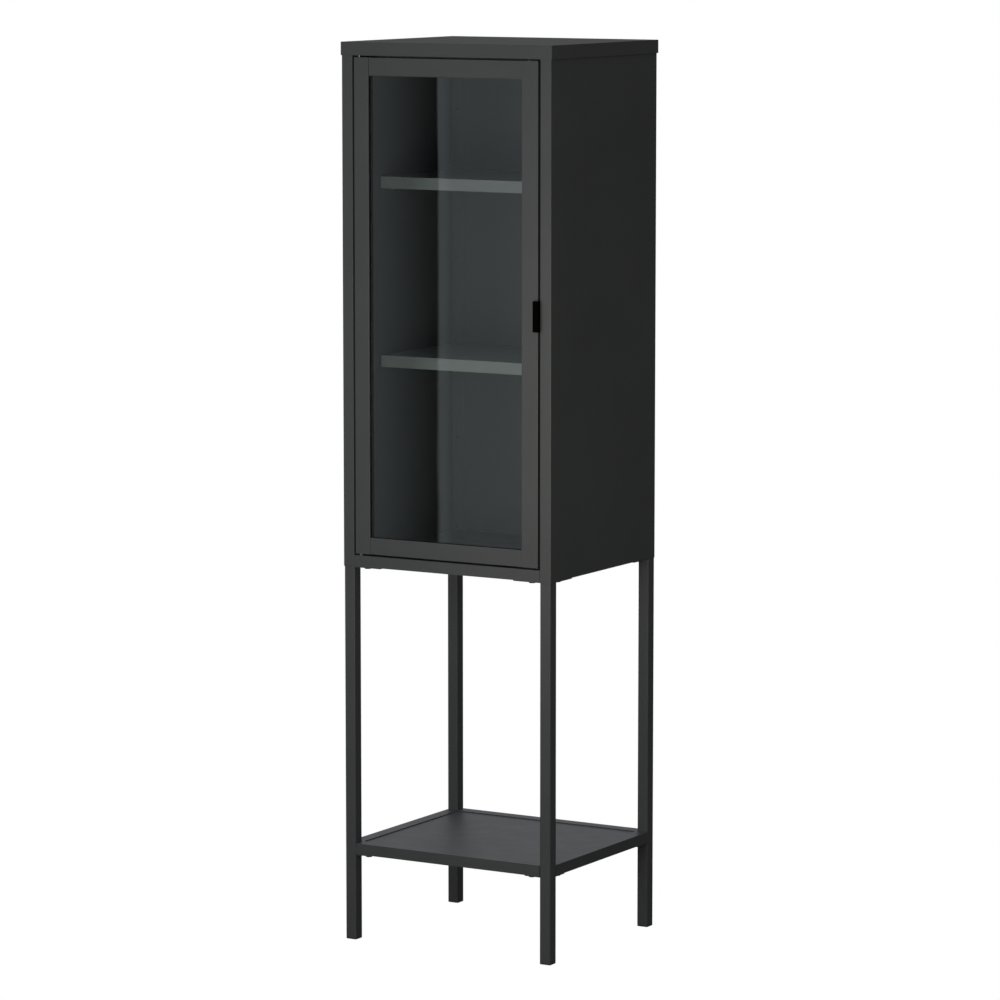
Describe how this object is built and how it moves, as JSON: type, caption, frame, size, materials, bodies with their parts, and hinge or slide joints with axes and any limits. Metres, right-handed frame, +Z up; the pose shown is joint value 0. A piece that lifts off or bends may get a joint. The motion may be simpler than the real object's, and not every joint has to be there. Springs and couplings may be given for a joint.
{
  "type": "tower display case",
  "caption": "Tall narrow folded-steel display case on square-tube legs, with a hinged glass door, inner shelves and an open tray shelf near the floor.",
  "frame": {"origin": "on the floor, at the middle of the width and of the overall depth", "axes": "+Z up, -Y out through the glass door, +X towards the door's free edge as seen from the front's right"},
  "size_m": [0.4, 0.363, 1.5],
  "materials": {
    "powder_coat": "charcoal-black powder coat with a fine texture and a low satin sheen",
    "shelf_coat": "grey powder coat, a shade lighter than the case",
    "zinc_plate": "bright zinc-plated steel",
    "black_zinc": "black-passivated zinc on bolts, back screws and door gussets",
    "clear_glass": "clear tempered sheet with a slight roller wave",
    "glazing_rubber": "matt black extruded rubber",
    "bumper_rubber": "milky clear soft dome",
    "black_plastic": "deep matt black",
    "natural_nylon": "natural nylon, yellowed and lightly greased",
    "magnet": "dull sintered magnet",
    "charcoal_plastic": "charcoal moulding, coloured like the legs"
  },
  "bodies": {
    "cabinet": {"lid": "powder_coat", "lid_studs": "zinc_plate", "lid_nuts": "zinc_plate", "side_panel_left": "powder_coat", "side_panel_right": "powder_coat", "back_panel": "powder_coat", "back_panel_screws": "black_zinc", "bottom_panel": "powder_coat", "shelf_upper": "shelf_coat", "shelf_lower": "shelf_coat", "shelf_angles": "powder_coat", "shelf_screws": "zinc_plate", "hinge_bush_upper": "natural_nylon", "hinge_bush_lower": "natural_nylon", "door_bumpers": "bumper_rubber", "catch_housing": "black_plastic", "catch_magnet": "magnet", "catch_pole_plates": "zinc_plate", "catch_screws": "zinc_plate", "leg_front_left": "powder_coat", "leg_front_right": "powder_coat", "leg_rear_left": "powder_coat", "leg_rear_right": "powder_coat", "leg_plates": "powder_coat", "leg_bolts": "black_zinc", "leg_weld_nuts": "zinc_plate", "foot_caps": "charcoal_plastic", "tray_shelf": "powder_coat", "tray_brackets": "powder_coat", "tray_bolts": "black_zinc", "tray_weld_nuts": "zinc_plate"},
    "door": {"door_hinge_stile": "powder_coat", "door_lock_stile": "powder_coat", "door_top_rail": "powder_coat", "door_bottom_rail": "powder_coat", "door_glass": "clear_glass", "door_gasket": "glazing_rubber", "door_gussets": "black_zinc", "door_frame_screws": "zinc_plate", "hinge_blocks": "zinc_plate", "hinge_pin_upper": "zinc_plate", "hinge_pin_lower": "zinc_plate", "hinge_washer": "natural_nylon", "lock_stile_plugs": "black_plastic", "door_handle": "black_plastic", "handle_screws": "zinc_plate"}
  },
  "joints": [
    {"name": "door_swing", "type": "hinge", "parent": "cabinet", "child": "door", "pos_m": [-0.167, -0.1675, 1.065], "axis": [0, 0, -1], "range_deg": [0, 110]}
  ]
}
